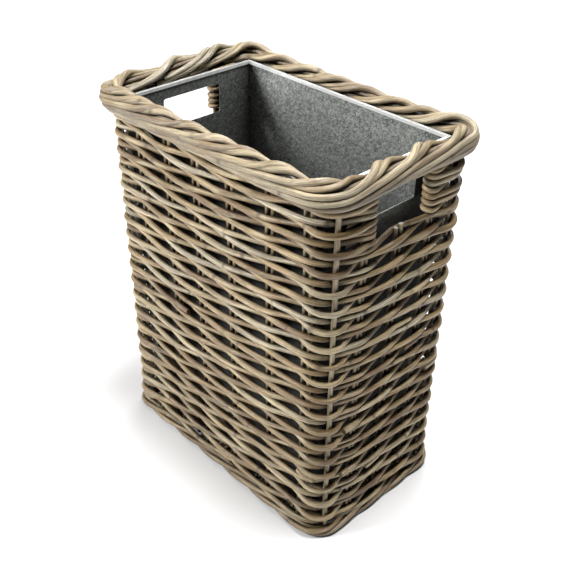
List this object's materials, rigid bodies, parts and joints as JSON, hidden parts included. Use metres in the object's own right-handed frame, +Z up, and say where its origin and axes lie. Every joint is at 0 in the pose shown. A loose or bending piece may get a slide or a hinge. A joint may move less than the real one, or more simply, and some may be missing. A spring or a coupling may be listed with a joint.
{
  "type": "wicker log basket",
  "caption": "Tall rectangular woven rattan basket with a rolled border, a hand hole in each end and a lift-out sheet steel liner for logs.",
  "frame": {"origin": "centre of the foot's underside, where the basket stands on the floor", "axes": "+Z up; +X along the basket's length, towards one of the two ends with a hand hole; +Y across its width"},
  "size_m": [0.3956, 0.2576, 0.485],
  "materials": {
    "rattan": "greyed natural rattan, matt with a slight sheen",
    "rattan_stake": "darker natural rattan, matt",
    "galvanised_sheet": "dull spangled galvanised",
    "steel_rim": "bright folded edge"
  },
  "bodies": {
    "basket": {"wale_row_01": "rattan", "wale_row_02": "rattan", "wale_row_03": "rattan", "wale_row_04": "rattan", "wale_row_05": "rattan", "wale_row_06": "rattan", "wale_row_07": "rattan", "wale_row_08": "rattan", "wale_row_09": "rattan", "wale_row_10": "rattan", "wale_row_11": "rattan", "wale_row_12": "rattan", "wale_row_13": "rattan", "wale_row_14": "rattan", "wale_row_15": "rattan", "wale_row_16": "rattan", "wale_row_17": "rattan", "wale_row_18": "rattan", "wale_row_19": "rattan", "stakes_front": "rattan_stake", "stakes_back": "rattan_stake", "stakes_right_end": "rattan_stake", "stakes_left_end": "rattan_stake", "corner_stakes": "rattan_stake", "post_wrap_right_front": "rattan", "post_wrap_right_back": "rattan", "post_wrap_left_front": "rattan", "post_wrap_left_back": "rattan", "foot_strand_1": "rattan", "foot_strand_2": "rattan", "foot_strand_3": "rattan", "base_sticks": "rattan_stake", "base_mat": "rattan", "border_outer_1": "rattan", "border_outer_2": "rattan", "border_outer_3": "rattan", "border_outer_4": "rattan", "border_top_1": "rattan", "border_inner_1": "rattan", "border_inner_2": "rattan", "border_inner_3": "rattan", "border_core_1": "rattan_stake", "border_core_2": "rattan_stake"},
    "liner": {"liner_floor": "galvanised_sheet", "liner_wall_front": "galvanised_sheet", "liner_wall_back": "galvanised_sheet", "liner_end_right": "galvanised_sheet", "liner_end_left": "galvanised_sheet", "liner_hem_front": "steel_rim", "liner_hem_back": "steel_rim", "liner_hem_right": "steel_rim", "liner_hem_left": "steel_rim"}
  },
  "joints": [
    {"name": "liner_lift", "type": "slide", "parent": "basket", "child": "liner", "axis": [0, 0, 1], "range_m": [0, 0.5]}
  ]
}
